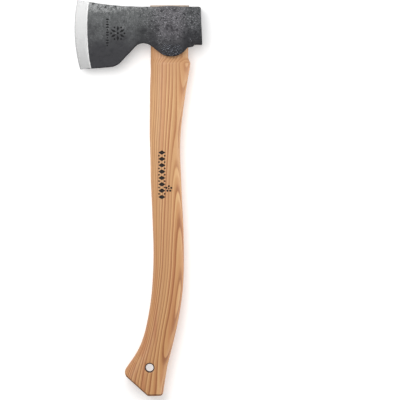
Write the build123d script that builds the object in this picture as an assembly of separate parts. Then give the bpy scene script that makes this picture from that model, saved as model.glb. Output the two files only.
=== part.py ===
from build123d import *

import os
from math import copysign, cos, pi, radians, sin, sqrt, tan

# A forged hatchet with a curved wooden handle, lying on its side.
#
# It is four pieces, as on a bench: the steel head with its tapered eye, the handle whose
# tongue fills the eye, the wooden wedge that spreads the tongue's saw cut, and the steel
# ring driven in across that wedge.
#
# Frame, in millimetres: the origin is the point under the middle of the eye, on the flat cheek
# that the hatchet lies on. +Z is up out of the other cheek, +Y runs along the handle towards
# the head's top, and -X points to the cutting edge. Everything is drawn about the mid-plane
# Z = 0 first, and is raised by half the head's thickness as it is written.

# --- Driving dimensions of the head ---------------------------------------------------------
EDGE_RADIUS = 190.0  # curve of the cutting edge, seen from the side
EDGE_CENTRE = (70.0, 5.0)  # centre of that curve
TOE_Y = 41.6  # the edge's upper corner
HEEL_Y = -46.8  # the edge's lower corner
CORNER_ROUNDING = 1.0  # of the toe and the heel
HEAD_TOP_Y = 32.2  # the flat stretch of the head's top, over the eye and the poll
TOP_FLAT_START_X = -28.0  # the top is flat from here back, and sweeps up to the toe in front
BEVEL_HALF_ANGLE = 11.5  # degrees between a ground bevel and the mid-plane
EDGE_LAND = 0.1  # width of the cutting edge itself

# Corners of the lower outline from the heel to the poll, each with its rounding radius.
BEARD = ((-66.9, -43.3), 22.0)
ARCH = ((-34.7, -8.3), 14.5)
LUG = ((4.4, -38.8), 23.3)
LEDGE_FRONT = ((23.0, -18.9), 1.0)
LEDGE_BACK = ((29.2, -17.8), 1.0)
POLL_STEP = ((31.4, -15.6), 1.0)
POLL_BOTTOM = ((41.15, -15.6), 1.2)
POLL_TOP = ((39.1, HEAD_TOP_Y), 2.3)

HEAD_THICKNESS = 31.0  # across the flat cheeks, which is also how high the hatchet lies
CHEEK_FRONT_X = -26.0  # the cheeks are flat and parallel from here...
CHEEK_BACK_X = 20.0  # ...to here
POLL_HALF_THICKNESS = 14.2
# Half thickness of the blade at stations along X, along the head's top.
BLADE_STATIONS = ((-122.0, 2.5), (-104.0, 3.2), (-78.0, 4.6), (-56.0, 6.8), (-40.0, 10.6))
BLADE_START_SLOPE = 0.03
HEEL_THINNING = 0.75  # share of that half thickness left along the head's bottom
FORGED_ROUNDING = 1.2  # of the head's long edges

# --- Driving dimensions of the eye and the wedges -------------------------------------------
# An oval is (y, front x, back x, thickness).
EYE_TOP = (HEAD_TOP_Y, -24.5, 24.3, 20.6)
EYE_BOTTOM = (-32.0, -24.1, 23.4, 19.0)
EYE_POWER = 2.6  # superellipse power: 2 is an ellipse, more is squarer
FIT_GAP = 0.02  # left between pressed faces
TONGUE_END_Y = 34.3  # the tongue and its wedge stand a little proud of the head
KERF_FLOOR_Y = -16.0
KERF_WIDTH = 1.0
WEDGE_TIP_Y = -9.0
WEDGE_TOP_THICKNESS = 5.6
RING_RADIUS = 6.5
RING_WALL = 1.4
RING_DEPTH = 10.0
RING_RIM = 0.4  # width of the ring's leading rim

# --- Driving dimensions of the handle -------------------------------------------------------
HANDLE_POWER = 2.4
# Ovals from the shoulder to past the butt, whose end is then cut to its outline.
HANDLE_STATIONS = (
    (-38.5, -24.3, 26.3, 25.4),
    (-60.0, -24.6, 22.7, 24.8),
    (-85.0, -25.1, 18.8, 24.2),
    (-110.0, -25.3, 15.5, 23.8),
    (-136.0, -25.2, 13.4, 23.6),
    (-161.0, -24.4, 13.4, 23.4),
    (-186.0, -24.0, 14.6, 23.4),
    (-211.0, -22.8, 15.6, 23.4),
    (-236.0, -21.8, 17.0, 23.4),
    (-262.0, -20.8, 17.8, 23.5),
    (-287.0, -20.6, 18.0, 23.6),
    (-312.0, -21.6, 17.4, 23.8),
    (-337.0, -23.8, 15.1, 24.2),
    (-362.0, -27.9, 11.1, 24.8),
    (-384.0, -33.3, 6.3, 25.6),
    (-402.0, -41.0, 1.8, 26.3),
    (-420.0, -53.0, -2.7, 27.0),
    (-440.0, -66.6, -6.0, 27.5),
    (-462.0, -81.6, -9.2, 27.8),
)
BUTT_END_Y = -458.2
BUTT_TOE = ((-58.3, -430.4), 8.7)  # the swell's point
BUTT_SLANT_END = ((-27.7, BUTT_END_Y), 2.5)  # where the slanting cut meets the flat end
BUTT_HEEL = ((-9.4, BUTT_END_Y), 4.5)
BUTT_EDGE_ROUNDING = 0.8
HANG_HOLE_CENTRE = (-25.2, -422.4)
HANG_HOLE_RADIUS = 5.0
HANG_HOLE_CHAMFER = 1.0

OVAL_POINTS = 24
SLAB = 80.0  # deeper than any piece, for cutting tools


def oval(station, power, gap=0.0):
    """The superellipse face at one station, square to Y, drawn in by gap."""
    y, front, back, thickness = station
    centre = (front + back) / 2
    half_width = (back - front) / 2 - gap
    half_thickness = thickness / 2 - gap
    points = []
    for step in range(OVAL_POINTS):
        angle = 2 * pi * step / OVAL_POINTS
        across = cos(angle)
        up = sin(angle)
        x = centre + half_width * copysign(abs(across) ** (2 / power), across)
        z = half_thickness * copysign(abs(up) ** (2 / power), up)
        points.append((x, y, z))
    return Face(Wire(Spline(*points, periodic=True)))


def between(first, second, y):
    """The station at height y, on the straight taper through two stations."""
    share = (y - first[0]) / (second[0] - first[0])
    return (y, *(a + share * (b - a) for a, b in zip(first[1:], second[1:])))


def eye_column(low_y, high_y, gap=0.0):
    """The eye's tapered column from one height to another."""
    ends = [between(EYE_BOTTOM, EYE_TOP, y) for y in (low_y, high_y)]
    return loft([oval(end, EYE_POWER, gap) for end in ends], ruled=True)


def filleted(corners, first, last):
    """A line from first to last through corners, each a point with its rounding radius."""
    points = [first, *(point for point, _ in corners), last]
    return FilletPolyline(*points, radius=[radius for _, radius in corners])


def edge_point(y):
    """The point of the curved cutting edge at height y."""
    x = EDGE_CENTRE[0] - sqrt(EDGE_RADIUS**2 - (y - EDGE_CENTRE[1]) ** 2)
    return (x, y)


def head_outline():
    """The head seen from the side."""
    toe = edge_point(TOE_Y)
    heel = edge_point(HEEL_Y)
    top_start = (TOP_FLAT_START_X, HEAD_TOP_Y)
    corners = (BEARD, ARCH, LUG, LEDGE_FRONT, LEDGE_BACK, POLL_STEP, POLL_BOTTOM, POLL_TOP)
    edge = ThreePointArc(toe, edge_point(EDGE_CENTRE[1]), heel)
    top = TangentArc(top_start, toe, tangent=(-1, 0))
    outline = make_face(edge + filleted(corners, heel, top_start) + top)
    ends = outline.vertices().sort_by(Axis.X)[:2]
    return fillet(ends, CORNER_ROUNDING)


def thickness_profile(y, thinning):
    """The head seen along the handle, as a face at height y. The blade's front is thinned."""
    cheek = HEAD_THICKNESS / 2
    front_x = BLADE_STATIONS[0][0]
    poll_x = POLL_BOTTOM[0][0] + 1
    points = []
    for x, half in BLADE_STATIONS:
        share = (x - front_x) / (CHEEK_FRONT_X - front_x)
        points.append((x, y, half * (thinning + (1 - thinning) * share)))
    nose = Line((front_x, y, 0), points[0])
    blade = Spline(
        *points,
        (CHEEK_FRONT_X, y, cheek),
        tangents=[(1, 0, BLADE_START_SLOPE), (1, 0, 0)],
    )
    rest = Polyline(
        (CHEEK_FRONT_X, y, cheek),
        (CHEEK_BACK_X, y, cheek),
        (poll_x, y, POLL_HALF_THICKNESS),
        (poll_x, y, 0),
    )
    upper = [*nose.edges(), *blade.edges(), *rest.edges()]
    return Face(Wire(upper + [edge.mirror(Plane.XY) for edge in upper]))


def bevel_wheel():
    """What the two ground bevels bound: a wheel about the edge's centre, thinning to the edge."""
    land = EDGE_LAND / 2
    depth = HEAD_THICKNESS
    inner = EDGE_RADIUS - (depth - land) / tan(radians(BEVEL_HALF_ANGLE))
    points = [(0, 0), (EDGE_RADIUS, 0), (EDGE_RADIUS, land), (inner, depth), (0, depth)]
    half = revolve(make_face(Plane.XZ * Polyline(*points, close=True)), Axis.Z)
    return Pos(*EDGE_CENTRE, 0) * (half + mirror(half, Plane.XY))


def rim_edges(blank):
    """The edges between the cheeks and the rim behind the bevels, without the cheeks' creases."""
    found = []
    for edge in blank.edges():
        box = edge.bounding_box()
        on_cheek = min(abs(box.min.Z), abs(box.max.Z)) > 2.4 and box.size.Z < 8
        cheek_crease = box.size.X < 0.5 and box.size.Y > 20
        bevel_line = box.size.Y > 60
        if on_cheek and not cheek_crease and not bevel_line:
            found.append(edge)
    return found


def head():
    """The forged head: its outline, thinned to the edge, with the eye through it."""
    side = extrude(head_outline(), amount=SLAB / 2, both=True)
    profiles = [thickness_profile(HEEL_Y - 2, HEEL_THINNING), thickness_profile(TOE_Y + 2, 1.0)]
    blank = side & loft(profiles, ruled=True) & bevel_wheel()
    blank = fillet(rim_edges(blank), FORGED_ROUNDING)
    return blank - eye_column(EYE_BOTTOM[0] - 4, TONGUE_END_Y + 4)


def wedge_prism(gap=0.0):
    """The wedge's taper, longer than the eye, drawn in by gap."""
    tip = KERF_WIDTH / 2 - gap
    top = WEDGE_TOP_THICKNESS / 2 - gap
    outline = Polyline(
        (0, WEDGE_TIP_Y + gap, -tip),
        (0, WEDGE_TIP_Y + gap, tip),
        (0, TONGUE_END_Y, top),
        (0, TONGUE_END_Y, -top),
        close=True,
    )
    return extrude(make_face(outline), amount=SLAB / 2, dir=(1, 0, 0), both=True)


def ring(gap=0.0):
    """The steel ring, thinning to its leading rim. A gap makes it the groove that it cuts."""
    outer = RING_RADIUS + gap
    inner = RING_RADIUS - RING_WALL - gap
    low = TONGUE_END_Y - RING_DEPTH - gap
    outline = Polyline(
        (inner, TONGUE_END_Y),
        (outer, TONGUE_END_Y),
        (outer, low),
        (outer - RING_RIM - 2 * gap, low),
        close=True,
    )
    return revolve(make_face(outline), Axis.Y)


def wooden_wedge():
    """The hardwood wedge, trimmed to the eye and grooved by the ring."""
    blank = wedge_prism(FIT_GAP) & eye_column(WEDGE_TIP_Y - 2, TONGUE_END_Y, FIT_GAP)
    return blank - ring(FIT_GAP)


def butt_outline():
    """The outline that the butt is cut to, seen from the side, round the rest of the handle."""
    front = (-35.6, -374.8)
    back = (31.0, -346.2)
    cut = filleted((BUTT_TOE, BUTT_SLANT_END, BUTT_HEEL), front, back)
    top_y = TONGUE_END_Y + 10
    rest = Polyline(back, (back[0], top_y), (front[0], top_y), front)
    return make_face(cut + rest)


def butt_edges(grip):
    """The edges that the butt's cut leaves round the swell and the end."""
    found = []
    for edge in grip.edges():
        box = edge.bounding_box()
        across = box.size.X < 0.01 and box.size.Y < 0.01
        if box.max.Y < -423 and not across:
            found.append(edge)
    return found


def hang_hole(body):
    """The hole through the butt, and its two rims chamfered."""
    body -= Pos(*HANG_HOLE_CENTRE, 0) * Cylinder(HANG_HOLE_RADIUS, SLAB)
    rims = []
    for edge in body.edges():
        box = edge.bounding_box()
        round_hole = abs(box.size.X - 2 * HANG_HOLE_RADIUS) < 0.1
        if round_hole and abs(box.center().Y - HANG_HOLE_CENTRE[1]) < 0.1:
            rims.append(edge)
    return chamfer(rims, HANG_HOLE_CHAMFER)


def handle():
    """The handle: tongue, shoulder, curved grip and swelled butt, saw cut and hanging hole."""
    grip = loft([oval(station, HANDLE_POWER) for station in HANDLE_STATIONS])
    grip &= extrude(butt_outline(), amount=SLAB / 2, both=True)
    grip = fillet(butt_edges(grip), BUTT_EDGE_ROUNDING)
    grip = hang_hole(grip)
    neck = oval(EYE_BOTTOM, EYE_POWER, FIT_GAP)
    shoulder = loft([neck, oval(HANDLE_STATIONS[0], HANDLE_POWER)], ruled=True)
    tongue = eye_column(EYE_BOTTOM[0], TONGUE_END_Y, FIT_GAP)
    kerf_height = WEDGE_TIP_Y - KERF_FLOOR_Y
    kerf = Pos(0, KERF_FLOOR_Y + kerf_height / 2, 0) * Box(SLAB, kerf_height, KERF_WIDTH)
    tongue -= kerf + wedge_prism()
    tongue -= ring(FIT_GAP)
    return grip + shoulder + tongue


if __name__ == "__main__":
    os.makedirs("parts", exist_ok=True)
    pieces = {
        "axe_head": head(),
        "handle": handle(),
        "wooden_wedge": wooden_wedge(),
        "wedge_ring": ring(),
    }
    for name, piece in pieces.items():
        lifted = Pos(0, 0, HEAD_THICKNESS / 2) * piece
        export_step(lifted, f"parts/{name}.step")
        print(name, round(piece.volume), "mm3, solids", len(piece.solids()), piece.is_valid)
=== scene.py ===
# %% [markdown]
# # A forged hatchet
#
# The hatchet lies on its side. It has four pieces: a forged steel head, a curved handle of
# ring-porous wood, a wooden wedge that spreads the handle's tongue in the head's eye, and a steel
# ring driven in across that wedge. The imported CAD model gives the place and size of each, and
# this lesson makes the head and the handle again as fine, even meshes, then gives every piece
# its finish.

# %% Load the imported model
from math import cos, pi, radians, sin, sqrt

import bmesh
import bpy
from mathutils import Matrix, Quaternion, Vector


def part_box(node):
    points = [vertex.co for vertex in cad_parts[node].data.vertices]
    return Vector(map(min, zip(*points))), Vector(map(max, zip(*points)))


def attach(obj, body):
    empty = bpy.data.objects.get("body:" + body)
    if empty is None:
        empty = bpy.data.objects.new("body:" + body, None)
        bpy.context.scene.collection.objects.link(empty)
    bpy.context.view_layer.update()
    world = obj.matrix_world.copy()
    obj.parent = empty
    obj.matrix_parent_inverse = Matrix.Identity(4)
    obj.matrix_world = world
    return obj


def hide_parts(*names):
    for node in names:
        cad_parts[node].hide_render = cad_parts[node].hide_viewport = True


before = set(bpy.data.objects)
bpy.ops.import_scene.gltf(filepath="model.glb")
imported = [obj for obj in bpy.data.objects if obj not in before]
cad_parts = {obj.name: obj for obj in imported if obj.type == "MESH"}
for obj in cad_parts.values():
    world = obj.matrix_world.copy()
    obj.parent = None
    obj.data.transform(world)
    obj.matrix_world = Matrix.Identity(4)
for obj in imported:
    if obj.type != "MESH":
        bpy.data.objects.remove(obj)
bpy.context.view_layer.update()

MM = 0.001
cad_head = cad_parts["axe_head"]
cad_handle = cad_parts["handle"]
head_low, head_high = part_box("axe_head")
MID = (head_low.z + head_high.z) / 2
bpy.ops.object.select_all(action="DESELECT")
print("mid-plane", round(MID / MM, 2), "mm above the floor")

# %% [markdown]
# ## Small helpers
#
# An operator acts on all that is selected, so every step starts with nothing selected but its
# own piece. The report after a step shows a mistake at once: a closed piece has no open edges,
# and its volume is near the real one's.

# %% Helpers for selecting, naming and measuring a piece


def only(piece):
    """Selects this piece alone and makes it the active one."""
    bpy.ops.object.select_all(action="DESELECT")
    piece.select_set(True)
    bpy.context.view_layer.objects.active = piece
    return piece


def named(name):
    """The piece that was just added, named."""
    piece = bpy.context.object
    piece.name = piece.data.name = name
    return piece


def report(piece):
    """Prints the size of the piece's mesh, and how many of its edges aren't closed."""
    mesh = bmesh.new()
    mesh.from_mesh(piece.data)
    open_edges = sum(1 for edge in mesh.edges if not edge.is_manifold)
    triangles = sum(len(face.verts) - 2 for face in mesh.faces)
    volume = mesh.calc_volume(signed=True) / MM**3
    mesh.free()
    print(piece.name, triangles, "triangles,", open_edges, "open edges,", round(volume), "mm3")


# %% [markdown]
# ## The head's cheek
#
# The real head is forged from one bar: a thick eye, cheeks that thin towards the blade, and a
# curved edge ground on both sides. A grid laid over its outline follows such a shape well: its
# columns start as arcs along the cutting edge and straighten towards the poll, and its ends
# slide on the outline, which is probed on the CAD head. A shrinkwrap then drops the grid onto
# the cheek. It could be cut from a block instead, but then no edge would run along the bevel.

# %% Touch a CAD piece with a probe


def probe(node, start, direction):
    """Where a ray in millimetres first meets a CAD node, in millimetres, and the normal there."""
    hit, place, normal, _ = node.ray_cast(Vector(start) * MM, Vector(direction))
    return (place / MM, normal) if hit else (None, None)


edge_tip, _ = probe(cad_head, (-200, 0, MID / MM), (1, 0, 0))
print("the cutting edge is at x", round(edge_tip.x, 2), "mm")

# %% Columns from the cutting edge to the poll, in millimetres
EDGE_CENTRE_X, EDGE_CENTRE_Y, EDGE_RADIUS = 70.0, 5.0, 190.0
EDGE_LOW_Y, EDGE_HIGH_Y = -45.9, 40.9
BEVEL_ARC = 1.09  # the bevel's line has the same centre, so it bows this much more than the edge
ARC_FROM_X, ARC_TO_X, EDGE_X = -30, -105, -120  # columns bend over the first stretch
POLL_SLANT = 0.0431  # how far the poll's face leans back over its height
POLL_SLANT_FROM_X = 31.0
EYE_FROM_X, EYE_CLEARANCE = -28.0, 12.0  # beside the eye, the outline is probed this far up


def steps(first, last, size):
    """Even steps of about a size, from first up to but not including last."""
    count = round((last - first) / size)
    return [first + (last - first) * n / count for n in range(count)]


columns = [-119.95, -119.6, -119.1, -118.4]
columns += steps(-117.5, -106.6, 1.0) + steps(-106.6, -101.5, 0.35) + steps(-101.5, 21.5, 0.82)
columns += steps(21.5, 25.0, 0.35) + steps(25.0, 28.2, 0.7) + steps(28.2, 33.0, 0.35)
columns += steps(33.0, 37.0, 0.8) + [37.2, 37.8, 38.3, 38.7, 39.0, 39.03]
ROWS = 104
GRID_Z = 40.0  # the grid is laid out above the head
POLL_BOTTOM_Y, HEAD_TOP_Y = -15.6, 32.2
print(len(columns), "columns and", ROWS, "rows")

# %% Lay the grid on the outline


def fade(value, low, high):
    """0 below low, 1 above high, straight in between."""
    return min(1.0, max(0.0, (value - low) / (high - low)))


def row_share(row):
    """The row's share of the way from the lower outline to the upper one, closer at the ends."""
    even = row / (ROWS - 1)
    return 0.72 * even + 0.28 * (1 - cos(pi * even)) / 2


def column_x(x, share, y):
    """Where a column passes at a share of its height: an arc at the edge, straight behind."""
    edge_y = EDGE_LOW_Y + (EDGE_HIGH_Y - EDGE_LOW_Y) * share - EDGE_CENTRE_Y
    sag = EDGE_RADIUS - sqrt(EDGE_RADIUS**2 - edge_y**2)
    arc = BEVEL_ARC * fade(-x, -ARC_FROM_X, -ARC_TO_X)
    if x < ARC_TO_X:
        arc = BEVEL_ARC - (BEVEL_ARC - 1) * fade(-x, -ARC_TO_X, -EDGE_X)
    slant = POLL_SLANT * fade(x, POLL_SLANT_FROM_X, 39.0)
    return x + arc * sag + slant * (HEAD_TOP_Y - y)


def outline_y(x, from_above):
    """The head's outline at x, probed beside the eye, a hair inside the metal."""
    side_z = MID / MM + (EYE_CLEARANCE if x > EYE_FROM_X else 0.0)
    start_y = 200 if from_above else -200
    place, _ = probe(cad_head, (x, start_y, side_z), (0, -1 if from_above else 1, 0))
    return place.y + (-0.1 if from_above else 0.1)


bpy.ops.mesh.primitive_grid_add(
    x_subdivisions=len(columns) - 1, y_subdivisions=ROWS - 1, size=0.1, location=(0, 0, 0)
)
head = named("forged_head")
for number, x in enumerate(columns):
    low_y = outline_y(column_x(x, 0, POLL_BOTTOM_Y), False)
    high_y = outline_y(column_x(x, 1, HEAD_TOP_Y), True)
    for row in range(ROWS):
        y = low_y + (high_y - low_y) * row_share(row)
        place = Vector((column_x(x, row_share(row), y), y, GRID_Z))
        head.data.vertices[row * len(columns) + number].co = place * MM
report(head)

# %% Drop it onto the cheek, and smooth the facets away from the rim
SMOOTH_FROM_X, SMOOTH_TO_X = -99, 36
RIM_ROWS = 4  # rows along the outline that stay as they are


def finish_with(piece, kind, **settings):
    """Adds a modifier to the piece and applies it."""
    only(piece)
    modifier = piece.modifiers.new(kind, kind)
    for key, value in settings.items():
        setattr(modifier, key, value)
    bpy.ops.object.modifier_apply(modifier=modifier.name)


finish_with(
    head,
    "SHRINKWRAP",
    target=cad_head,
    wrap_method="PROJECT",
    use_project_z=True,
    use_positive_direction=False,
    use_negative_direction=True,
)
missed = [v for v in head.data.vertices if v.co.z > GRID_Z * MM - 0.5 * MM]
for vertex in missed:
    _, place, _, _ = cad_head.closest_point_on_mesh(vertex.co)
    vertex.co.z = place.z
inner = head.vertex_groups.new(name="inner")
for number, x in enumerate(columns):
    for row in range(RIM_ROWS, ROWS - RIM_ROWS):
        if SMOOTH_FROM_X < x < SMOOTH_TO_X:
            inner.add([row * len(columns) + number], 1.0, "REPLACE")
finish_with(head, "SMOOTH", factor=0.5, iterations=12, vertex_group="inner")
print(len(missed), "points missed the head and were put back on it")

# %% [markdown]
# ### The rim and the other side
#
# The head is the same on both cheeks. The open edge of the grid is grown down to the mid-plane,
# and its tall faces are divided, so that the rim has as even a mesh as the cheek. A copy turned
# over then makes the other side. Mirroring in edit mode turns faces inside out, so the normals
# are worked out again once the two halves are merged.

# %% Grow the rim down to the mid-plane, and halve its long upright edges
only(head)
bpy.ops.object.mode_set(mode="EDIT")
bpy.ops.mesh.select_mode(type="EDGE")
bpy.ops.mesh.select_all(action="DESELECT")
bpy.ops.mesh.select_non_manifold()
bpy.ops.mesh.extrude_region_move()
bpy.ops.transform.resize(value=(1, 1, 0), center_override=(0, 0, MID))
LONGEST_UPRIGHT = 1.7 * MM
for _ in range(4):
    for edge in bmesh.from_edit_mesh(head.data).edges:
        a, b = (vertex.co for vertex in edge.verts)
        upright = (a.xy - b.xy).length < 1e-7
        edge.select_set(upright and abs(a.z - b.z) > LONGEST_UPRIGHT)
    bmesh.update_edit_mesh(head.data)
    bpy.ops.mesh.subdivide(number_cuts=1)
print(len(bmesh.from_edit_mesh(head.data).verts), "points with the rim")

# %% Turn the half over to make the other side
bpy.ops.mesh.select_all(action="SELECT")
bpy.ops.mesh.duplicate()
bpy.ops.transform.resize(value=(1, 1, -1), center_override=(0, 0, MID))
bpy.ops.mesh.select_all(action="SELECT")
bpy.ops.mesh.remove_doubles(threshold=1e-6)
bpy.ops.mesh.normals_make_consistent(inside=False)
bpy.ops.object.mode_set(mode="OBJECT")
report(head)

# %% [markdown]
# ## Hammer marks
#
# A forged head is never quite flat. The hammer leaves broad, shallow swells, and the scale that
# forms on the hot steel leaves finer pits, most of them round the eye. Both are real height
# here, from displace modifiers that leave the ground bevels alone. Sculpting would do it too,
# but textures give the same result on every run. A third displacement raises the middle of the
# eye's top rim by less than a millimetre, where the steel was pushed up as the eye was punched.

# %% Swells, pits and the raised rim


def weigh(piece, group_name, weight_at):
    """Fills a vertex group with weight_at(place in millimetres) for each vertex."""
    group = piece.vertex_groups.new(name=group_name)
    for vertex in piece.data.vertices:
        group.add([vertex.index], weight_at(vertex.co / MM), "REPLACE")
    return group_name


def forged_share(at):
    """0 on the ground bevels, 1 on the forged skin behind them."""
    from_edge_centre = Vector((at.x - EDGE_CENTRE_X, at.y - EDGE_CENTRE_Y)).length
    return fade(-from_edge_centre, -173.0, -168.0)


def rough_share(at):
    """The forged skin, a quarter as rough on the blade as round the eye."""
    return forged_share(at) * (0.25 + 0.75 * fade(at.x, -45.0, -15.0))


def lip_share(at):
    """1 in the middle of the eye's top rim, and 0 at its ends."""
    return fade(at.y, 27.0, 32.0) * max(0.0, 1.0 - ((at.x - 0.5) / 15.0) ** 2)


for name, size, depth, height, share_at in (
    ("hammer_swells", 11.0, 1, 0.55, forged_share),
    ("scale_pits", 2.6, 2, 0.32, rough_share),
):
    texture = bpy.data.textures.new(name, "CLOUDS")
    texture.noise_scale = size * MM
    texture.noise_depth = depth
    finish_with(
        head,
        "DISPLACE",
        texture=texture,
        texture_coords="LOCAL",
        strength=height * MM,
        mid_level=0.5,
        vertex_group=weigh(head, name, share_at),
    )
lip = {"direction": "Y", "mid_level": 0.0, "strength": 0.9 * MM}
finish_with(head, "DISPLACE", vertex_group=weigh(head, "lip", lip_share), **lip)
report(head)

# %% [markdown]
# ## The eye
#
# The eye is the tapered oval hole that the tongue fills. A cutter of the same taper is grown
# from a circle, wider at the top for a small countersink, and taken away from the head.

# %% Probe the eye
EYE_LEVELS = (-12.0, 29.0)


def eye_size(y):
    """The eye's front, back and thickness at a height, from probes at two heights."""
    found = []
    for level in EYE_LEVELS:
        centre = (0, level, MID / MM)
        ways = ((-1, 0, 0), (1, 0, 0), (0, 0, 1), (0, 0, -1))
        front, back, top, bottom = (probe(cad_head, centre, way)[0] for way in ways)
        found.append((front.x, back.x, top.z - bottom.z))
    share = (y - EYE_LEVELS[0]) / (EYE_LEVELS[1] - EYE_LEVELS[0])
    return [a + share * (b - a) for a, b in zip(*found)]


print("the eye's front, back and width at the top:", [round(s, 1) for s in eye_size(HEAD_TOP_Y)])

# %% Start an oval, grow it and close it
OVAL_POWER = 2.5  # 2 is an ellipse, more is squarer


def start_oval(name, y, front, back, thickness, points):
    """A squared-up oval ring at height y, open in edit mode."""
    bpy.ops.object.select_all(action="DESELECT")
    bpy.ops.mesh.primitive_circle_add(vertices=points, radius=1.0, location=(0, 0, 0))
    piece = named(name)
    for vertex in piece.data.vertices:
        across, up = vertex.co.x, vertex.co.y
        across, up = (abs(s) ** (2 / OVAL_POWER) * (1 if s > 0 else -1) for s in (across, up))
        x = (front + back) / 2 + across * (back - front) / 2
        vertex.co = Vector((x, y, MID / MM + up * thickness / 2)) * MM
    bpy.ops.object.mode_set(mode="EDIT")
    bpy.ops.mesh.select_mode(type="EDGE")
    bpy.ops.mesh.select_all(action="SELECT")
    return piece


def grow_oval(before, after):
    """Extrudes the ring to the next station. A station is y, front, back, thickness."""
    move = ((after[1] + after[2] - before[1] - before[2]) / 2, after[0] - before[0], 0)
    bpy.ops.mesh.extrude_region_move(TRANSFORM_OT_translate={"value": [m * MM for m in move]})
    wider = (after[2] - after[1]) / (before[2] - before[1])
    thicker = after[3] / before[3]
    centre = ((after[1] + after[2]) / 2 * MM, after[0] * MM, MID)
    bpy.ops.transform.resize(value=(wider, 1, thicker), center_override=centre)


def close_ends():
    """Caps both open ends of a grown ring, and turns its faces outwards."""
    bpy.ops.mesh.select_all(action="DESELECT")
    bpy.ops.mesh.select_non_manifold()
    bpy.ops.mesh.fill_holes(sides=0)
    bpy.ops.mesh.select_all(action="SELECT")
    bpy.ops.mesh.normals_make_consistent(inside=False)
    bpy.ops.object.mode_set(mode="OBJECT")


# %% Cut a shape away from a piece


def cut_away(piece, cutter):
    """
    Takes the cutter's shape out of the piece. The cut faces get the cutter's finish. A cut can
    leave two faces back to back on the same edges, which hold nothing and are deleted.
    """
    settings = {"operation": "DIFFERENCE", "object": cutter, "solver": "MANIFOLD"}
    finish_with(piece, "BOOLEAN", material_mode="TRANSFER", **settings)
    bpy.data.objects.remove(cutter)
    bpy.ops.object.mode_set(mode="EDIT")
    bpy.ops.mesh.select_mode(type="FACE")
    bpy.ops.mesh.select_all(action="DESELECT")
    for face in bmesh.from_edit_mesh(piece.data).faces:
        around = {other for edge in face.edges for other in edge.link_faces}
        face.select_set(len(around) == 2)
    bpy.ops.mesh.delete(type="FACE")
    bpy.ops.object.mode_set(mode="OBJECT")


# %% Cut the eye, with a small countersink at its top
COUNTERSINK = 0.8
FLARE = 2.4  # how far the cutter widens above the countersink's foot
BELOW_HEAD_Y = -46.0
top_size = eye_size(HEAD_TOP_Y)
flared = [top_size[0] - FLARE, top_size[1] + FLARE, top_size[2] + 2 * FLARE]
eye_stations = [
    (BELOW_HEAD_Y, *eye_size(BELOW_HEAD_Y)),
    (HEAD_TOP_Y - COUNTERSINK, *eye_size(HEAD_TOP_Y - COUNTERSINK)),
    (HEAD_TOP_Y - COUNTERSINK + FLARE, *flared),
]
eye_cutter = start_oval("eye_cutter", *eye_stations[0], points=96)
for before, after in zip(eye_stations, eye_stations[1:]):
    grow_oval(before, after)
close_ends()
report(eye_cutter)
cut_away(head, eye_cutter)
report(head)

# %% [markdown]
# ## Marks punched in the blade
#
# A smith strikes a mark in the hot cheek with small punches. This one is a plain ornament of
# bars, dots and leaves. Each punch is a small primitive stood on the blade's slope, and all of
# them are taken away together, which leaves real dents with their own dark finish.

# %% A punch that stands square on a surface
PUNCH_LENGTH = 2.0
PUNCH_BEVEL = 0.08


def punch(node, x, y, size, sides, depth, turn=0):
    """A prism of size (x, y) in millimetres, sunk to a depth in a CAD node's upper face."""
    place, normal = probe(node, (x, y, 100), (0, 0, -1))
    up = Vector((0, 0, 1))
    facing = up.rotation_difference(normal) @ Quaternion(up, radians(turn))
    bpy.ops.object.select_all(action="DESELECT")
    bpy.ops.mesh.primitive_cylinder_add(
        vertices=sides,
        radius=MM,
        depth=PUNCH_LENGTH * MM,
        scale=(size[0] / 2, size[1] / 2, 1),
        location=(place + normal * (PUNCH_LENGTH / 2 - depth)) * MM,
        rotation=facing.to_euler(),
    )
    bpy.ops.object.mode_set(mode="EDIT")
    bpy.ops.mesh.select_all(action="SELECT")
    bpy.ops.mesh.bevel(offset=PUNCH_BEVEL * MM, affect="EDGES")
    bpy.ops.object.mode_set(mode="OBJECT")
    return bpy.context.object


def joined(name, pieces):
    """Joins the pieces into one, at the origin."""
    bpy.ops.object.select_all(action="DESELECT")
    for piece in pieces:
        piece.select_set(True)
    bpy.context.view_layer.objects.active = pieces[0]
    bpy.ops.object.join()
    bpy.ops.object.transform_apply(location=True, rotation=True, scale=True)
    return named(name)


# %% Strike the blade: a row of bars and dots, and a rosette of six leaves
HEAD_MARK_DEPTH = 0.4
ROW_X, ROW_TOP_Y, ROW_STEP = -78.6, 16.5, 3.3
ROSETTE_X, ROSETTE_Y = -65.4, -1.1
struck = []
for number in range(11):
    size = (2.0, 2.0) if number % 3 == 1 else (4.2, 2.1)
    struck.append(punch(cad_head, ROW_X, ROW_TOP_Y - number * ROW_STEP, size, 8, HEAD_MARK_DEPTH))
for number in range(6):
    turn = 60 * number + 30
    angle = radians(turn)
    x, y = ROSETTE_X + 6.2 * cos(angle), ROSETTE_Y + 6.2 * sin(angle)
    struck.append(punch(cad_head, x, y, (7.6, 3.2), 4, HEAD_MARK_DEPTH, turn))
    angle += pi / 6
    x, y = ROSETTE_X + 8.4 * cos(angle), ROSETTE_Y + 8.4 * sin(angle)
    struck.append(punch(cad_head, x, y, (2.5, 2.5), 8, HEAD_MARK_DEPTH))
struck.append(punch(cad_head, ROSETTE_X, ROSETTE_Y, (2.8, 2.8), 12, HEAD_MARK_DEPTH))
head_punches = joined("head_punches", struck)
report(head_punches)

# %% [markdown]
# ## The handle
#
# The handle is sawn from a plank, shaped on a spindle sander and cut off at the butt. It grows
# here in the same order: an oval ring is extruded from the tongue down past the butt, with each
# station's size probed on the CAD handle. The last stations are given as numbers, because there
# the butt's slant hides the full oval from the probe.

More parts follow.
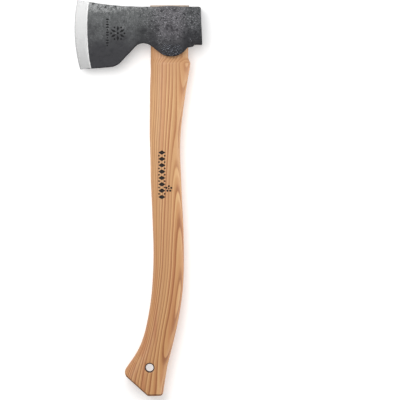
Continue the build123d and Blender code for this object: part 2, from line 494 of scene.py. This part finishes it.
# %% Stations from the tongue's end to past the butt, in millimetres
TONGUE_END_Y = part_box("handle")[1].y / MM
CAD_POWER = 2.4
SIDE = 0.45  # the thickness is probed this share of the half width to the front, off the hole


def grip_size(y):
    """The handle's front, back and thickness at a height."""
    front = probe(cad_handle, (-200, y, MID / MM), (1, 0, 0))[0].x
    back = probe(cad_handle, (200, y, MID / MM), (-1, 0, 0))[0].x
    x = (front + back) / 2 - SIDE * (back - front) / 2
    crown = probe(cad_handle, (x, y, 100), (0, 0, -1))[0].z - MID / MM
    return front, back, 2 * crown / (1 - SIDE**CAD_POWER) ** (1 / CAD_POWER)


stations = [(y, *eye_size(y)) for y in [TONGUE_END_Y] + steps(32.0, -32.0, -4.0) + [-32.0]]
stations += [(y, *grip_size(y)) for y in steps(-38.7, -414.0, -3.4)]
stations += [(-420, -53.0, -2.7, 27.0), (-430, -59.8, -4.4, 27.3), (-440, -66.6, -6.0, 27.5)]
stations += [(-450, -73.4, -7.5, 27.6), (-462, -81.6, -9.2, 27.8)]
print(len(stations), "stations; the thinnest is", round(min(s[3] for s in stations), 1), "mm")

# %% Grow the blank
blank = start_oval("wooden_handle", *stations[0], points=96)
for before, after in zip(stations, stations[1:]):
    grow_oval(before, after)
close_ends()
report(blank)

# %% [markdown]
# ### The butt and the hanging hole
#
# The butt is cut off on a slant, and its corners are rounded on the sander. A few bisects, each
# turned a little further round the corner, do the same. They see only the faces near the butt,
# because a bisecting plane goes on for ever and would cut the grip's bend too. The hole is
# drilled right through and countersunk, so its cutter is a rod with two flared ends.

# %% Cut the butt to its outline: two flats and the rounds between them
BUTT_FROM_Y = -385
BUTT_ROUNDS = (  # a round's centre, radius, first and last direction, and number of flats
    (-47.9, -428.1, 8.7, 158.0, 222.0, 10),
    (-27.0, -455.7, 2.5, 234.0, 264.0, 4),
    (-12.54, -453.7, 4.5, 276.0, 340.0, 8),
)
SLANT_X, SLANT_Y, SLANT_TURN = -53.8, -434.5, 227.8  # a point on the slanting cut, and its way
BUTT_END_Y = -458.2
cuts = [(SLANT_X, SLANT_Y, SLANT_TURN), (-20.0, BUTT_END_Y, 270.0)]
for x, y, radius, first, last, count in BUTT_ROUNDS:
    for number in range(count):
        angle = first + (last - first) * number / (count - 1)
        cut_x = x + radius * cos(radians(angle))
        cuts.append((cut_x, y + radius * sin(radians(angle)), angle))
only(blank)
bpy.ops.object.mode_set(mode="EDIT")
bpy.ops.mesh.select_mode(type="FACE")
for x, y, angle in cuts:
    for face in bmesh.from_edit_mesh(blank.data).faces:
        face.select_set(face.calc_center_median().y < BUTT_FROM_Y * MM)
    bpy.ops.mesh.bisect(
        plane_co=(x * MM, y * MM, MID),
        plane_no=(cos(radians(angle)), sin(radians(angle)), 0),
        use_fill=True,
        clear_outer=True,
    )
bpy.ops.object.mode_set(mode="OBJECT")
report(blank)

# %% Bore the hanging hole, with a countersink on each side
HOLE_X, HOLE_Y, HOLE_RADIUS = -25.2, -422.4, 5.0
DRILL_LENGTH, FLARE_LENGTH = 25.0, 5.0
centre = (HOLE_X * MM, HOLE_Y * MM, MID)
bpy.ops.object.select_all(action="DESELECT")
bpy.ops.mesh.primitive_cylinder_add(
    vertices=64, radius=HOLE_RADIUS * MM, depth=DRILL_LENGTH * MM, location=centre
)
drill = named("drill")
bpy.ops.object.transform_apply(location=True)
for way in (1, -1):
    bpy.ops.object.mode_set(mode="EDIT")
    bpy.ops.mesh.select_mode(type="FACE")
    bpy.ops.mesh.select_all(action="DESELECT")
    for face in bmesh.from_edit_mesh(drill.data).faces:
        face.select_set(face.normal.z * way > 0.9)
    move = (0, 0, way * FLARE_LENGTH * MM)
    bpy.ops.mesh.extrude_region_move(TRANSFORM_OT_translate={"value": move})
    bpy.ops.transform.resize(value=(2, 2, 1), center_override=centre)
    bpy.ops.object.mode_set(mode="OBJECT")
cut_away(blank, drill)
report(blank)

# %% [markdown]
# ### Sanding
#
# Sanding leaves one smooth skin and takes the sharpness off every edge. A voxel remesh makes an
# even mesh of the blank, and a Smooth modifier eases its edges, a little more at the butt. A
# Bevel modifier would stumble over the narrow faces that the bisects left.

# %% Sand it: one even skin with eased edges
SKIN_STEP = 0.95
finish_with(blank, "REMESH", mode="VOXEL", voxel_size=SKIN_STEP * MM)
finish_with(blank, "SMOOTH", factor=0.5, iterations=5)


def butt_share(at):
    """1 at the butt, fading out above the hole."""
    return fade(-at.y, 410.0, 424.0)


finish_with(blank, "SMOOTH", iterations=10, vertex_group=weigh(blank, "butt", butt_share))
report(blank)

# %% [markdown]
# ### Room for the wedge and the ring
#
# The tongue has a saw cut, and the wedge driven into it spreads the wood against the eye. The
# steel ring is driven in across the wedge and cuts its own groove. The saw cut's cutter is a
# thin plate, extruded upwards and widened as the wedge is. The ring's groove is cut by a copy
# of the ring itself, a hair larger, so that the pieces don't share faces.

# %% A closed copy of a CAD piece, to cut with


def copy_of(node, name):
    """A closed copy of a CAD piece, whose loose triangles are joined first."""
    bpy.ops.object.select_all(action="DESELECT")
    copy = node.copy()
    copy.data = node.data.copy()
    bpy.context.scene.collection.objects.link(copy)
    copy.parent = None
    only(copy)
    named(name)
    bpy.ops.object.mode_set(mode="EDIT")
    bpy.ops.mesh.select_all(action="SELECT")
    bpy.ops.mesh.remove_doubles(threshold=1e-6)
    bpy.ops.mesh.normals_make_consistent(inside=False)
    bpy.ops.object.mode_set(mode="OBJECT")
    return copy


ring_cutter = copy_of(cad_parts["wedge_ring"], "ring_cutter")
report(ring_cutter)

# %% Saw the tongue for its wedge
KERF_FLOOR = -0.009  # the wedge's tip, where the saw cut starts to widen
KERF_SPARE = 0.004  # how far the cutter stands out above the wedge
WEDGE_LENGTH, KERF_GROWTH = 0.0433, 4.7  # the cut widens so many times over the wedge's length
wedge_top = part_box("wooden_wedge")[1].y
bpy.ops.object.select_all(action="DESELECT")
bpy.ops.mesh.primitive_cube_add(size=1, location=(0, -0.0125, MID), scale=(0.08, 0.007, 0.001))
kerf = named("saw_kerf")
only(kerf)
bpy.ops.object.transform_apply(location=True, scale=True)
bpy.ops.object.mode_set(mode="EDIT")
bpy.ops.mesh.select_all(action="DESELECT")
for face in bmesh.from_edit_mesh(kerf.data).faces:
    face.select_set(face.normal.y > 0.9)
reach = wedge_top - KERF_FLOOR + KERF_SPARE
bpy.ops.mesh.extrude_region_move(TRANSFORM_OT_translate={"value": (0, reach, 0)})
grown = 1 + KERF_GROWTH * (reach / WEDGE_LENGTH)
bpy.ops.transform.resize(value=(1, 1, grown), center_override=(0, 0, MID))
bpy.ops.object.mode_set(mode="OBJECT")
cut_away(blank, kerf)
report(blank)

# %% Groove it for the ring
ring_low, ring_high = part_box("wedge_ring")
only(ring_cutter)
centre = ((ring_low.x + ring_high.x) / 2, ring_low.y, MID)
bpy.ops.transform.resize(value=(1.005, 1.2, 1.005), center_override=centre)
bpy.ops.object.transform_apply(location=True, rotation=True, scale=True)
cut_away(blank, ring_cutter)
report(blank)

# %% [markdown]
# ### An ornament on the grip
#
# A hot iron burns a mark into the wood: the mark is a little sunk, and as dark as charcoal. The
# same punches serve as on the blade. Black paint on a flat surface would look printed when the
# light comes from the side.

# %% Burn a row of lozenges and dots, and a small flower
HANDLE_MARK_DEPTH = 0.35
CHAIN_X, CHAIN_TOP_Y, CHAIN_STEP, CHAIN_LENGTH = -9.8, -151.5, 8.0, 8
FLOWER_X, FLOWER_Y, FLOWER_RADIUS = -1.0, -197.0, 3.1
burned = []
for number in range(CHAIN_LENGTH):
    y = CHAIN_TOP_Y - number * CHAIN_STEP
    burned.append(punch(cad_handle, CHAIN_X, y, (9.4, 5.6), 4, HANDLE_MARK_DEPTH))
    if number < CHAIN_LENGTH - 1:
        y -= CHAIN_STEP / 2
        for x in (CHAIN_X - 3.6, CHAIN_X + 3.6):
            burned.append(punch(cad_handle, x, y, (2.2, 2.2), 10, HANDLE_MARK_DEPTH))
for number in range(5):
    angle = radians(72 * number + 90)
    x, y = FLOWER_X + FLOWER_RADIUS * cos(angle), FLOWER_Y + FLOWER_RADIUS * sin(angle)
    burned.append(punch(cad_handle, x, y, (2.8, 2.8), 10, HANDLE_MARK_DEPTH))
burned.append(punch(cad_handle, FLOWER_X, FLOWER_Y, (2.0, 2.0), 10, HANDLE_MARK_DEPTH))
handle_punches = joined("handle_punches", burned)
report(handle_punches)

# %% [markdown]
# ## Finishes
#
# A finish is a few shader nodes. Their maths reads as plain sums here: a Value wraps a node's
# output, and adding or multiplying Values adds the Math nodes. All patterns are solid, in the
# object's own millimetres, so wood grain runs through the handle and shows on every cut.

# %% A Value for shader maths


class Value:
    """A number, colour or place that varies over a surface: the output of a node."""

    def __init__(self, finish, socket):
        self.finish, self.socket = finish, socket

    def math(self, operation, *others, **settings):
        numbers = dict(enumerate([self, *others]))
        node = self.finish.node("ShaderNodeMath", {"operation": operation, **settings}, numbers)
        return Value(self.finish, node.outputs[0])

    def __add__(self, other):
        return self.math("ADD", other)

    def __mul__(self, other):
        return self.math("MULTIPLY", other)

    def __sub__(self, other):
        return self.math("SUBTRACT", other)

    def __rsub__(self, other):
        return self * -1.0 + other

    def __truediv__(self, other):
        return self.math("DIVIDE", other)

    def __pow__(self, other):
        return self.math("POWER", other)

    __radd__ = __add__
    __rmul__ = __mul__

    def part(self):
        """What is left of the number after its whole part."""
        return self.math("FRACT")

    def between(self, low, high):
        """0 below low, 1 above high, smooth in between. Low may be above high."""
        sockets = {"Value": self, "From Min": low, "From Max": high}
        settings = {"interpolation_type": "SMOOTHSTEP", "clamp": True}
        node = self.finish.node("ShaderNodeMapRange", settings, sockets)
        return Value(self.finish, node.outputs[0])


# %% A Finish that adds nodes


class Finish:
    """A material that is built up node by node."""

    def __init__(self, name):
        self.material = bpy.data.materials.new(name)
        self.material.use_nodes = True
        self.nodes = self.material.node_tree.nodes
        self.nodes.clear()
        self.places = Value(self, self.node("ShaderNodeTexCoord").outputs["Object"])

    def node(self, kind, settings=None, sockets=None):
        """Adds a node: first its settings, then a value or a link for each socket."""
        made = self.nodes.new(kind)
        for key, value in (settings or {}).items():
            setattr(made, key, value)
        for key, value in (sockets or {}).items():
            socket = made.inputs[key]
            if isinstance(value, Value):
                self.material.node_tree.links.new(value.socket, socket)
            else:
                socket.default_value = (*value, 1.0) if socket.type == "RGBA" else value
        return made

    def attribute(self, name):
        """A number stored on the mesh's points."""
        node = self.node("ShaderNodeAttribute", {"attribute_name": name})
        return Value(self, node.outputs["Fac"])

    def place(self):
        """The point's x, y and z in millimetres."""
        split = self.node("ShaderNodeSeparateXYZ", {}, {0: self.places})
        return [Value(self, split.outputs[n]) * 1000.0 for n in range(3)]

    def vector(self, x, y, z):
        """Three numbers as one place, for a pattern to read."""
        joined_up = self.node("ShaderNodeCombineXYZ", {}, {0: x, 1: y, 2: z})
        return Value(self, joined_up.outputs[0])

    def noise(self, at, size, detail=2.0, rough=0.5):
        """Soft noise about 0.5, with features of a size in the units of the vector at."""
        sockets = {"Vector": at, "Scale": 1.0 / size, "Detail": detail, "Roughness": rough}
        node = self.node("ShaderNodeTexNoise", {}, sockets)
        return Value(self, node.outputs["Fac"])

    def cells(self, at, size):
        """The distance to the nearest of scattered points."""
        sockets = {"Vector": at, "Scale": 1.0 / size}
        node = self.node("ShaderNodeTexVoronoi", {"feature": "F1"}, sockets)
        return Value(self, node.outputs["Distance"])

    def mix(self, share, first, second):
        """One colour into another. A colour is red, green and blue, or the result of a mix."""
        sockets = {0: share, 6: first, 7: second}
        node = self.node("ShaderNodeMix", {"data_type": "RGBA"}, sockets)
        return Value(self, node.outputs[2])

    def bump(self, height, depth):
        """Relief of that depth in metres."""
        node = self.node("ShaderNodeBump", {}, {"Height": height, "Distance": depth})
        return Value(self, node.outputs[0])

    def surface(self, **sockets):
        """Ends the finish with one shader."""
        named_sockets = {key.replace("_", " "): value for key, value in sockets.items()}
        shader = self.node("ShaderNodeBsdfPrincipled", {}, named_sockets)
        result = Value(self, shader.outputs[0])
        self.node("ShaderNodeOutputMaterial", {}, {"Surface": result})
        return self.material


def shade(red, green, blue):
    """A colour as it is read off a chart, from 0 to 255, turned to light."""
    return tuple((s / 255) ** 2.2 for s in (red, green, blue))


print("a middle grey is", round(shade(128, 128, 128)[0], 3), "of the light")

# %% [markdown]
# ### Wood
#
# The handle is ring-porous wood such as ash. Each year adds a pale band of open pores and a
# darker, dense band. The rings are cylinders about a pith that lies outside the handle, low on
# the cutting side, so they cross the grip on a slant: straight lines on the crown, arches where
# the back of the grip curves along them, and slanted lines on the shoulder. Drawing lines with
# a wave texture in flat coordinates would lose all three.

# %% Rings, streaks and pores
PITH_X, PITH_Z = -154.0, -244.0
RING_WIDTH = 2.05
GRAIN_SLOPE = 0.03  # how fast the rings run out of the handle's line
BEND_FROM_Y, BEND_LENGTH, BEND_SIZE = -290.0, 130.0, 8.0  # the grain follows the butt's bend


def wood_grain(finish):
    """The place in its year's band, a number for each year, and the fibre at two sizes."""
    x, y, z = finish.place()
    past_bend = (y * -1.0 + BEND_FROM_Y).math("MAXIMUM", 0.0) / BEND_LENGTH
    bend = past_bend**1.5 * BEND_SIZE
    x = x + bend
    slow = finish.vector(x * 0.03, y * 0.006, z * 0.03)
    wander = (finish.noise(slow, 1.0, 1.0) - 0.5) * 5.0 - y * GRAIN_SLOPE
    from_pith = ((x - PITH_X) ** 2.0 + (z - PITH_Z) ** 2.0) ** 0.5 + wander
    uneven = (finish.noise(finish.vector(from_pith * 0.2, 0.0, 0.0), 1.0, 1.0) - 0.5) * 3.5
    year = (from_pith + uneven) / RING_WIDTH
    each = finish.noise(finish.vector(year.math("FLOOR") * 0.77, y * 0.002, 0.0), 1.0, 1.0)
    fibre = finish.noise(finish.vector(x * 0.9, y * 0.015, z * 0.9), 1.0, 3.0, 0.6)
    fine = finish.noise(finish.vector(x * 3.4, y * 0.06, z * 3.4), 1.0, 2.0, 0.6)
    return year.part(), each, fibre, fine


pith_slant = Vector((PITH_X, PITH_Z)).normalized()
print("rings on the crown are about", round(RING_WIDTH / abs(pith_slant.x), 1), "mm apart")

# %% The handle's finish: pale and dark bands, an aged lower grip, and end grain


def handle_wood():
    """Oiled, ring-porous wood."""
    finish = Finish("oiled ash")
    x, y, z = finish.place()
    share, each, fibre, fine = wood_grain(finish)
    late = share.between(0.45, 0.93) * share.between(1.0, 0.94)
    early = share.between(0.0, 0.06) * share.between(0.45, 0.15)
    pale = finish.mix(each.between(0.35, 0.65), shade(213, 166, 118), shade(204, 148, 101))
    deep = finish.mix(each.between(0.3, 0.7), shade(183, 126, 82), shade(163, 102, 65))
    red = finish.noise(finish.vector(x * 0.16, y * 0.004, z * 0.16), 1.0, 2.0).between(0.4, 0.65)
    pale = finish.mix(red * 0.6, pale, shade(204, 139, 96))
    band = late * (0.4 + each * 0.8) + (fibre - 0.45) * 0.45
    colour = finish.mix(band.between(-0.05, 1.1), pale, deep)
    colour = finish.mix(early * each.between(0.35, 0.6) * 0.7, colour, shade(240, 204, 152))
    colour = finish.mix(fine.between(0.55, 0.72) * 0.35, colour, shade(166, 108, 70))
    colour = finish.mix(fine.between(0.42, 0.3) * 0.25, colour, shade(238, 198, 152))

    # hands darken the grip towards the butt, but not its early wood
    aged = y.between(-60.0, -400.0) * 0.7
    worn = finish.mix(red, shade(194, 138, 86), shade(182, 118, 74))
    worn = finish.mix(band.between(-0.05, 1.1), worn, shade(143, 85, 47))
    colour = finish.mix(aged, colour, worn)
    colour = finish.mix(early * each.between(0.4, 0.6) * 0.4, colour, shade(224, 180, 124))

    # darker towards the head, end grain on the tongue, painted shade in the hanging hole, and a
    # dark line round the butt: darker end grain with a painted shadow along its rounded edge
    colour = finish.mix(y.between(-90.0, -34.0) * 0.36, colour, shade(186, 136, 96))
    end_grain = finish.mix(fine, shade(214, 202, 190), shade(176, 162, 146))
    colour = finish.mix(y.between(31.6, 32.6) * 0.85, colour, end_grain)
    hole = finish.vector(x - HOLE_X, y - HOLE_Y, 0.0)
    from_hole = finish.node("ShaderNodeVectorMath", {"operation": "LENGTH"}, {0: hole})
    # painted shade on the hanging hole's wall and countersinks
    hole_shade = Value(finish, from_hole.outputs["Value"]).between(6.6, 5.8)
    # the butt's end grain is a little darker, and a painted shadow line lies along its rounded
    # edge
    way = radians(SLANT_TURN)
    slant = (x - SLANT_X) * cos(way) + (y - SLANT_Y) * sin(way)
    to_end = slant.math("MAXIMUM", y * -1.0 + (BUTT_END_Y + 0.8))
    rim = to_end.between(-2.1, -1.0) * (to_end.between(0.3, -0.6) * 0.55 + 0.45)
    colour = finish.mix(rim * 0.72, colour, shade(84, 50, 30))
    colour = finish.mix(hole_shade * 0.92, colour, shade(52, 31, 20))
    rough = 0.42 + fibre * 0.12 + fine * 0.12
    relief = finish.bump(late * 0.3 + fine * 0.6 + fibre * 0.3, 0.00012)
    return finish.surface(Base_Color=colour, Roughness=rough, Normal=relief, Coat_Weight=0.08)


def burned_wood():
    """The floor of a burned mark: charcoal with a little ash."""
    finish = Finish("burned wood")
    x, y, z = finish.place()
    ash = finish.noise(finish.vector(x, y * 0.3, z), 0.5, 2.0)
    colour = finish.mix(ash, shade(14, 10, 8), shade(40, 27, 19))
    relief = finish.bump(ash, 0.00006)
    return finish.surface(Base_Color=colour, Roughness=0.75, Normal=relief)


# %% [markdown]
# ### The wedge
#
# The wedge is a harder, darker wood than the handle. Its end shows short fibres and small open
# pores, which are scattered cells stretched along the handle.

# %% The wedge's finish: a darker hardwood


def wedge_wood():
    """Sawn hardwood with open pores."""
    finish = Finish("wedge hardwood")
    x, y, z = finish.place()
    fibre = finish.noise(finish.vector(x * 0.25, y * 0.03, z * 2.0), 1.0, 3.0)
    pores = finish.cells(finish.vector(x, y * 0.1, z), 0.8).between(0.35, 0.1)
    colour = finish.mix(fibre.between(0.3, 0.7), shade(168, 122, 84), shade(120, 80, 52))
    colour = finish.mix(pores * 0.6, colour, shade(84, 54, 36))
    relief = finish.bump(fibre - pores, 0.00008)
    return finish.surface(Base_Color=colour, Roughness=0.6, Normal=relief)


# %% [markdown]
# ### Steel
#
# The head has two finishes on one surface. The forged skin is dark scale: rough, faintly
# mottled, with small bright points where scale has flaked off, most of them round the eye. The
# ground bevels are bare steel with fine scratches square to the edge. One mask, the distance
# from the centre of the edge's curve, divides them, with a little noise so that the line wanders
# as a ground line does. Rubbed scale shows along the blade's top. Light and shade are painted
# into the skin too: its top is paler and its lower part darker, and painted shade keeps it black
# under the neck, under the poll, on the lug and along the rim.

# %% Forged skin and ground bevel


def head_steel():
    """Forged scale, and bare steel where the bevel is ground."""
    finish = Finish("forged and ground steel")
    x, y, z = finish.place()
    at = finish.vector(x, y, z)
    reach = ((x - EDGE_CENTRE_X) ** 2.0 + (y - EDGE_CENTRE_Y) ** 2.0) ** 0.5
    waver = (finish.noise(at, 3.0, 2.0) - 0.5) * 1.1
    line = 173.9 + y.between(5.0, 40.0) * 0.8 + y.between(-5.0, -50.0) * 2.2
    past = reach + waver - line
    ground = past.between(-0.15, 0.15)

    # the skin's base: painted lighter at the top and darker low down, as light from above falls,
    # a painted sheen over the eye, faintly purple, and darker and bluer on the poll
    broad = finish.noise(at, 16.0, 3.0, 0.6)
    blotch = finish.noise(at, 5.0, 3.0, 0.65)
    fine = finish.noise(at, 1.8, 4.0, 0.65)
    grit = finish.noise(at, 1.25, 2.0, 0.6)
    eye_share = x.between(-50.0, -12.0)
    upper = (y + (broad - 0.5) * 40.0).between(-30.0, 34.0)
    skin = finish.mix(upper, shade(58, 58, 61), shade(100, 102, 102))
    crown = (x.between(-30.0, -5.0) * x.between(28.0, 10.0)) * y.between(-22.0, 4.0)
    skin = finish.mix(crown * 0.6, skin, shade(100, 96, 101))
    skin = finish.mix(x.between(12.0, 26.0) * 0.25, skin, shade(50, 49, 57))
    patches = blotch.between(0.5, 0.32) * (0.35 + eye_share * 0.4)
    skin = finish.mix(patches, skin, shade(36, 36, 40))
    skin = finish.mix(fine.between(0.5, 0.36) * (0.2 + eye_share * 0.45), skin, shade(30, 29, 34))

    # rubbed scale and deep nicks along the blade's top, and flakes round the eye
    along = y - x * 0.05 + (blotch - 0.5) * 34.0
    worn = along.between(27.0, 38.0) * x.between(-12.0, -30.0) * fine.between(0.4, 0.54)
    skin = finish.mix(worn * 0.62, skin, shade(178, 179, 179))
    nicks = (blotch.between(0.46, 0.36) * y.between(22.0, 28.0)) * x.between(-62.0, -74.0)
    skin = finish.mix(nicks * 0.8, skin, shade(26, 26, 28))
    flaked = (broad * 0.4 + blotch * 0.7 + upper * 0.3).between(0.62, 0.84)
    flakes = grit.between(0.55, 0.66) * flaked
    skin = finish.mix(flakes * (0.1 + eye_share * 0.36), skin, shade(190, 189, 195))

    # painted shade: black under the poll and the neck and on the lug's lower arc, which also
    # has bright specks; and painted shade on the rim, where the surface faces sideways
    under_poll = x.between(13.0, 21.0) * y.between(7.0, -4.0)
    under_neck = (x.between(-42.0, -33.0) * x.between(-12.0, -20.0)) * y.between(15.0, 1.0)
    skin = finish.mix(under_poll * 0.5 + under_neck * 0.45, skin, shade(26, 26, 30))
    arc = (x.between(-13.0, -7.0) * x.between(18.0, 12.0)) * y.between(-14.0, -18.0)
    skin = finish.mix(arc * 0.45, skin, shade(30, 31, 37))
    skin = finish.mix(arc * grit.between(0.58, 0.64) * 0.5, skin, shade(160, 165, 176))
    # painted shade on the rim, darker where the surface faces sideways
    rim = finish.attribute("rim")
    skin = finish.mix(rim * 0.6, skin, shade(34, 34, 37))

    # the ground bevel: a painted highlight by the line, darker at the very edge
    scratch = finish.noise(finish.vector(reach * 0.12, y * 5.0, z * 0.5), 1.0, 3.0, 0.7)
    bare = finish.mix(scratch, shade(138, 138, 138), shade(154, 154, 154))
    bare = finish.mix(past.between(1.8, 0.3) * 0.7, bare, shade(176, 176, 176))
    bare = finish.mix(reach.between(188.4, 189.6) * 0.5, bare, shade(104, 104, 106))
    colour = finish.mix(ground, skin, bare)
    rough = (1.0 - ground) * (0.5 + fine * 0.25 - flakes * 0.2) + ground * (0.25 + scratch * 0.16)
    metal = 0.5 + ground * 0.5
    pitted = (fine * 0.7 + grit * 0.4 * (0.4 + eye_share)) * (1.0 - ground)
    relief = finish.bump(pitted + scratch * ground * 0.14, 0.0004)
    return finish.surface(Base_Color=colour, Roughness=rough, Metallic=metal, Normal=relief)


def struck_steel():
    """The floor of a struck mark, which keeps its scale."""
    finish = Finish("struck steel")
    x, y, z = finish.place()
    fine = finish.noise(finish.vector(x, y, z), 0.5, 2.0)
    colour = finish.mix(fine, shade(12, 12, 14), shade(30, 30, 33))
    relief = finish.bump(fine, 0.00008)
    return finish.surface(Base_Color=colour, Roughness=0.7, Metallic=0.4, Normal=relief)


def ring_steel():
    """Bare turned steel."""
    finish = Finish("ring steel")
    x, y, z = finish.place()
    turned = finish.noise(finish.vector(x, y * 8.0, z), 0.6, 3.0)
    colour = finish.mix(turned, shade(150, 150, 152), shade(188, 188, 190))
    relief = finish.bump(turned, 0.00005)
    rough = 0.3 + turned * 0.2
    return finish.surface(Base_Color=colour, Roughness=rough, Metallic=1.0, Normal=relief)


# %% [markdown]
# ### Finishes on, marks in
#
# A punched mark keeps its own finish if the punch wears it when it cuts, so the finishes go on
# first. The head's rim gets painted shade, darker than the cheek. How far each point faces
# sideways is stored on the mesh before the cuts, and the finish reads it.

# %% Give every piece its finish


def wear(piece, material):
    """Gives a piece this one material."""
    piece.data.materials.clear()
    piece.data.materials.append(material)
    print(piece.name, "wears", material.name)


# how far each point faces sideways, which sets the painted shade on the head's rim
sideways = head.data.attributes.new("rim", "FLOAT", "POINT")
for vertex, entry in zip(head.data.vertices, sideways.data):
    entry.value = 1.0 - fade(abs(vertex.normal.z), 0.45, 0.85)
wear(head, head_steel())
wear(head_punches, struck_steel())
wear(blank, handle_wood())
wear(handle_punches, burned_wood())
for node_name, material in (("wooden_wedge", wedge_wood()), ("wedge_ring", ring_steel())):
    wear(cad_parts[node_name], material)

# %% Cut the marks, and smooth what isn't an edge
SHARP_FROM = 32  # degrees
cut_away(head, head_punches)
cut_away(blank, handle_punches)
for piece in (head, blank):
    only(piece)
    bpy.ops.object.shade_smooth_by_angle(angle=radians(SHARP_FROM))
    report(piece)

# %% [markdown]
# ## Fastening
#
# Nothing moves on a hatchet, so the new head and handle are fastened to the one body. They stand
# for their CAD nodes, which stay behind for collisions.

# %% Fasten the new pieces to the frame
for piece, node_name, slot_name in (
    (head, "axe_head", "forged_steel"),
    (blank, "handle", "handle_wood"),
):
    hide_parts(node_name)
    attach(piece, "root")
    print(piece.name, "stands for", node_name)

# %% [markdown]
# ## The studio
#
# The hatchet lies on a pale floor under soft light. A broad panel above the head's top side
# and a little to the cutting side gives the bevel its brightness and the soft shadow on the
# other side. A low panel lights the poll and the back of the grip. The floor glows a little, as
# a lit white table does, so shadows stay faint. The camera looks straight down from far away,
# so the shapes keep their true proportions.

# %% Floor, a little brighter under the hanging hole
bpy.ops.object.select_all(action="DESELECT")
bpy.ops.mesh.primitive_plane_add(size=12, location=(0, 0, 0))
floor = named("studio_floor")
paper = Finish("paper")
mottle = paper.noise(paper.places, 0.4, 1.0)
white = paper.mix(mottle, (0.9, 0.9, 0.9), (0.92, 0.92, 0.92))
x, y, _ = paper.place()
under_hole = ((x - HOLE_X) ** 2.0 + (y - HOLE_Y) ** 2.0).between(90.0, 50.0)
glow = paper.mix(under_hole, (0.32, 0.32, 0.32), (0.6, 0.6, 0.6))
lit = {"Emission_Color": glow, "Emission_Strength": 1.0}
wear(floor, paper.surface(Base_Color=white, Roughness=0.9, **lit))

# %% Light


def panel(name, place, target, size, power):
    """A soft panel at a place in metres that faces a target and isn't seen itself."""
    bpy.ops.object.light_add(type="AREA", location=place)
    light = bpy.context.object
    light.name = name
    light.data.shape = "RECTANGLE"
    light.data.size, light.data.size_y = size
    light.data.energy = power
    light.visible_camera = False
    light.rotation_euler = (Vector(target) - Vector(place)).to_track_quat("-Z", "Y").to_euler()
    print(name, "shines with", power, "W")


panel("key_panel", (-0.48, 0.46, 1.32), (-0.03, -0.1, 0.02), (1.2, 1.2), 17.5)
panel("edge_panel", (0.75, -0.25, 0.16), (0.0, -0.2, 0.015), (0.9, 0.22), 2.6)
sky = bpy.data.worlds.new("studio_air")
sky.use_nodes = True
sky.node_tree.nodes["Background"].inputs["Color"].default_value = (1.0, 1.0, 1.0, 1.0)
sky.node_tree.nodes["Background"].inputs["Strength"].default_value = 0.4
bpy.context.scene.world = sky
bpy.context.scene.view_settings.view_transform = "Standard"

# %% Camera, straight above
VIEW_CENTRE = (38.2 * MM, -211.2 * MM)
VIEW_WIDTH = 504.4 * MM
LENS, SENSOR = 500, 36
bpy.ops.object.camera_add(rotation=(0, 0, 0))
camera = bpy.context.object
camera.name = "camera"
camera.data.lens = LENS
camera.data.sensor_width = SENSOR
camera.location = (*VIEW_CENTRE, MID + VIEW_WIDTH * LENS / SENSOR)
camera.data.clip_end = 100
bpy.context.scene.camera = camera
print("the camera is", round(camera.location.z, 2), "m up")
